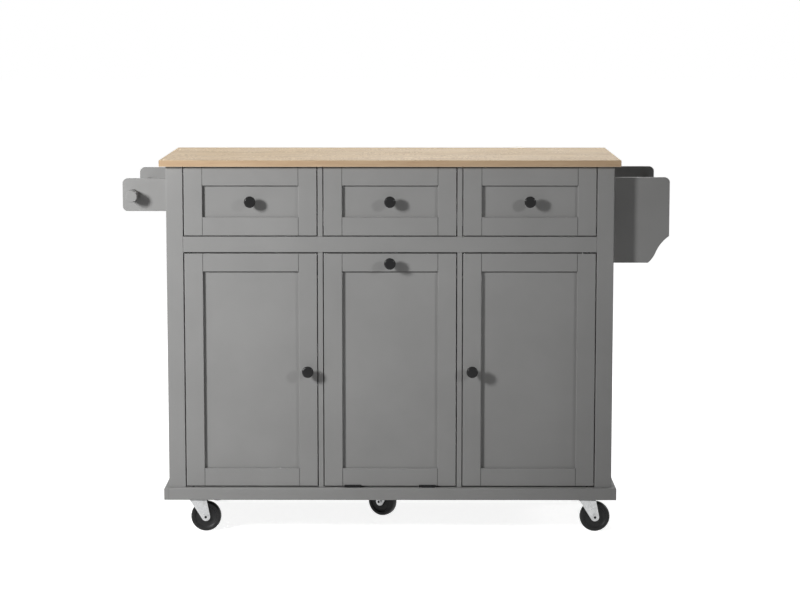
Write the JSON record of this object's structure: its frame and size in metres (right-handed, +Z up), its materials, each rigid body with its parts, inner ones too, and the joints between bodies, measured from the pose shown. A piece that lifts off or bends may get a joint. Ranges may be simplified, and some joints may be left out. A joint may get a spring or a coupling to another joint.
{
  "type": "kitchen island",
  "caption": "Painted kitchen island on swivel casters: oak worktop, drawers over hinged side doors and a tilt-out bin door, a towel rack at one end and a spice rack at the other.",
  "frame": {"origin": "the middle of the whole object's bounding box, on the floor under the casters", "axes": "+X to the right along the worktop's length, +Y from the front with the doors to the back, +Z up"},
  "size_m": [1.339, 0.477, 0.93],
  "materials": {
    "oak_top": "clear satin lacquer over knotty oak",
    "grey_paint": "satin mid-grey paint",
    "carcass_board": "melamine-faced board, matt grey",
    "drawer_board": "lacquered birch plywood",
    "black_knob": "semi-gloss black",
    "zinc_steel": "bright zinc plating",
    "black_hinge": "satin black",
    "black_rubber": "dull, slightly worn tread",
    "nylon": "plain moulded nylon"
  },
  "bodies": {
    "cabinet": {"worktop": "oak_top", "side_panels": "grey_paint", "front_posts": "grey_paint", "middle_rail": "grey_paint", "bottom_rail": "grey_paint", "dividers": "grey_paint", "bottom_panel": "carcass_board", "back_panel": "carcass_board", "top_stretchers": "carcass_board", "plinth_front": "grey_paint", "plinth_sides": "grey_paint", "shelves": "carcass_board", "shelf_supports": "zinc_steel", "runner_battens": "carcass_board", "magnet_catches": "nylon", "runner_channels": "zinc_steel", "tilt_hinge_fixed_leaves": "black_hinge", "towel_rack_ends": "grey_paint", "towel_bar": "grey_paint", "spice_rack_ends": "grey_paint", "spice_shelf": "grey_paint", "spice_guard_rail": "grey_paint", "caster_plates": "zinc_steel"},
    "drawer_left": {"drawer_left_front": "grey_paint", "drawer_left_box": "drawer_board", "drawer_left_knob": "black_knob", "drawer_left_runners": "zinc_steel"},
    "drawer_middle": {"drawer_middle_front": "grey_paint", "drawer_middle_box": "drawer_board", "drawer_middle_knob": "black_knob", "drawer_middle_runners": "zinc_steel"},
    "drawer_right": {"drawer_right_front": "grey_paint", "drawer_right_box": "drawer_board", "drawer_right_knob": "black_knob", "drawer_right_runners": "zinc_steel"},
    "door_left": {"door_left_frame": "grey_paint", "door_left_panel": "grey_paint", "door_left_knob": "black_knob", "door_left_pivots": "zinc_steel"},
    "door_right": {"door_right_frame": "grey_paint", "door_right_panel": "grey_paint", "door_right_knob": "black_knob", "door_right_pivots": "zinc_steel"},
    "tilt_door": {"tilt_door_frame": "grey_paint", "tilt_door_panel": "grey_paint", "tilt_door_knob": "black_knob", "bin_cradle": "drawer_board", "tilt_hinge_moving_leaves": "black_hinge"},
    "caster_front_left_fork": {"caster_front_left_fork": "zinc_steel"},
    "caster_front_left_wheel": {"caster_front_left_wheel": "black_rubber"},
    "caster_front_right_fork": {"caster_front_right_fork": "zinc_steel"},
    "caster_front_right_wheel": {"caster_front_right_wheel": "black_rubber"},
    "caster_rear_left_fork": {"caster_rear_left_fork": "zinc_steel"},
    "caster_rear_left_wheel": {"caster_rear_left_wheel": "black_rubber"},
    "caster_rear_right_fork": {"caster_rear_right_fork": "zinc_steel"},
    "caster_rear_right_wheel": {"caster_rear_right_wheel": "black_rubber"},
    "caster_centre_fork": {"caster_centre_fork": "zinc_steel"},
    "caster_centre_wheel": {"caster_centre_wheel": "black_rubber"}
  },
  "joints": [
    {"name": "drawer_left_slide", "type": "slide", "parent": "cabinet", "child": "drawer_left", "axis": [0, -1, 0], "range_m": [0, 0.3]},
    {"name": "drawer_middle_slide", "type": "slide", "parent": "cabinet", "child": "drawer_middle", "axis": [0, -1, 0], "range_m": [0, 0.3]},
    {"name": "drawer_right_slide", "type": "slide", "parent": "cabinet", "child": "drawer_right", "axis": [0, -1, 0], "range_m": [0, 0.3]},
    {"name": "door_left_hinge", "type": "hinge", "parent": "cabinet", "child": "door_left", "pos_m": [-0.50025, -0.199, 0.4125], "axis": [0, 0, -1], "range_deg": [0, 105]},
    {"name": "door_right_hinge", "type": "hinge", "parent": "cabinet", "child": "door_right", "pos_m": [0.47125, -0.199, 0.4125], "axis": [0, 0, 1], "range_deg": [0, 105]},
    {"name": "tilt_door_hinge", "type": "hinge", "parent": "cabinet", "child": "tilt_door", "pos_m": [-0.0145, -0.2099, 0.1244], "axis": [1, 0, 0], "range_deg": [0, 30]},
    {"name": "caster_front_left_swivel", "type": "hinge", "parent": "cabinet", "child": "caster_front_left_fork", "pos_m": [-0.4985, -0.1565, 0.09], "axis": [0, 0, 1], "continuous": true},
    {"name": "caster_front_left_spin", "type": "hinge", "parent": "caster_front_left_fork", "child": "caster_front_left_wheel", "pos_m": [-0.4735, -0.1565, 0.0375], "axis": [0, 1, 0], "continuous": true},
    {"name": "caster_front_right_swivel", "type": "hinge", "parent": "cabinet", "child": "caster_front_right_fork", "pos_m": [0.4695, -0.1565, 0.09], "axis": [0, 0, 1], "continuous": true},
    {"name": "caster_front_right_spin", "type": "hinge", "parent": "caster_front_right_fork", "child": "caster_front_right_wheel", "pos_m": [0.4945, -0.1565, 0.0375], "axis": [0, 1, 0], "continuous": true},
    {"name": "caster_rear_left_swivel", "type": "hinge", "parent": "cabinet", "child": "caster_rear_left_fork", "pos_m": [-0.4985, 0.1735, 0.09], "axis": [0, 0, 1], "continuous": true},
    {"name": "caster_rear_left_spin", "type": "hinge", "parent": "caster_rear_left_fork", "child": "caster_rear_left_wheel", "pos_m": [-0.47374, 0.17698, 0.0375], "axis": [-0.1392, 0.9903, 0], "continuous": true},
    {"name": "caster_rear_right_swivel", "type": "hinge", "parent": "cabinet", "child": "caster_rear_right_fork", "pos_m": [0.4695, 0.1735, 0.09], "axis": [0, 0, 1], "continuous": true},
    {"name": "caster_rear_right_spin", "type": "hinge", "parent": "caster_rear_right_fork", "child": "caster_rear_right_wheel", "pos_m": [0.49395, 0.1683, 0.0375], "axis": [0.2079, 0.9781, 0], "continuous": true},
    {"name": "caster_centre_swivel", "type": "hinge", "parent": "cabinet", "child": "caster_centre_fork", "pos_m": [-0.0145, -0.0025, 0.09], "axis": [0, 0, 1], "continuous": true},
    {"name": "caster_centre_spin", "type": "hinge", "parent": "caster_centre_fork", "child": "caster_centre_wheel", "pos_m": [-0.0357, 0.01075, 0.0375], "axis": [-0.5299, -0.848, 0], "continuous": true}
  ]
}
